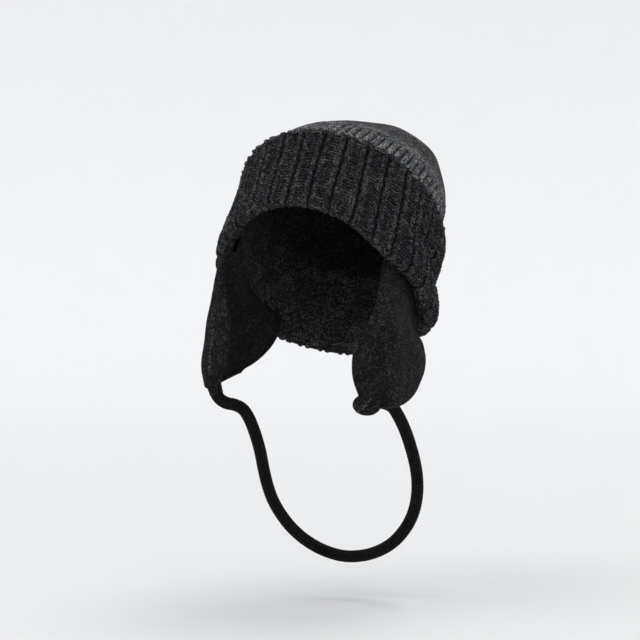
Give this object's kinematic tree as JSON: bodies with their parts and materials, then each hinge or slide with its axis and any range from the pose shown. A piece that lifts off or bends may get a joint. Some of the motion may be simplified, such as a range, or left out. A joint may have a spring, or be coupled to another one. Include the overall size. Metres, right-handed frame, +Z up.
{
  "type": "knit earflap cap",
  "caption": "Rib-knit cap with a deep turned-up cuff, padded ear flaps and a knitted tie cord that loops from flap to flap behind the neck.",
  "frame": {"origin": "centre of the head opening, where the head sits in the cap", "axes": "+Z up, -Y the way the face looks, +X the wearer's left; the cap leans 37 degrees back as on a raised head, flaps and cord hang plumb"},
  "size_m": [0.2067, 0.2409, 0.4079],
  "materials": {
    "plain_knit": "charcoal melange wool stockinette, matte and slightly fuzzy",
    "rib_knit": "charcoal melange wool rib, matte and slightly fuzzy",
    "flap_knit": "charcoal melange wool stockinette over padding, matte and slightly fuzzy",
    "cord_knit": "near-black knitted cord, matte"
  },
  "bodies": {
    "root": {"crown": "plain_knit", "cuff": "rib_knit", "ear_flap_left": "flap_knit", "ear_flap_right": "flap_knit", "tie_cord": "cord_knit"}
  },
  "joints": []
}
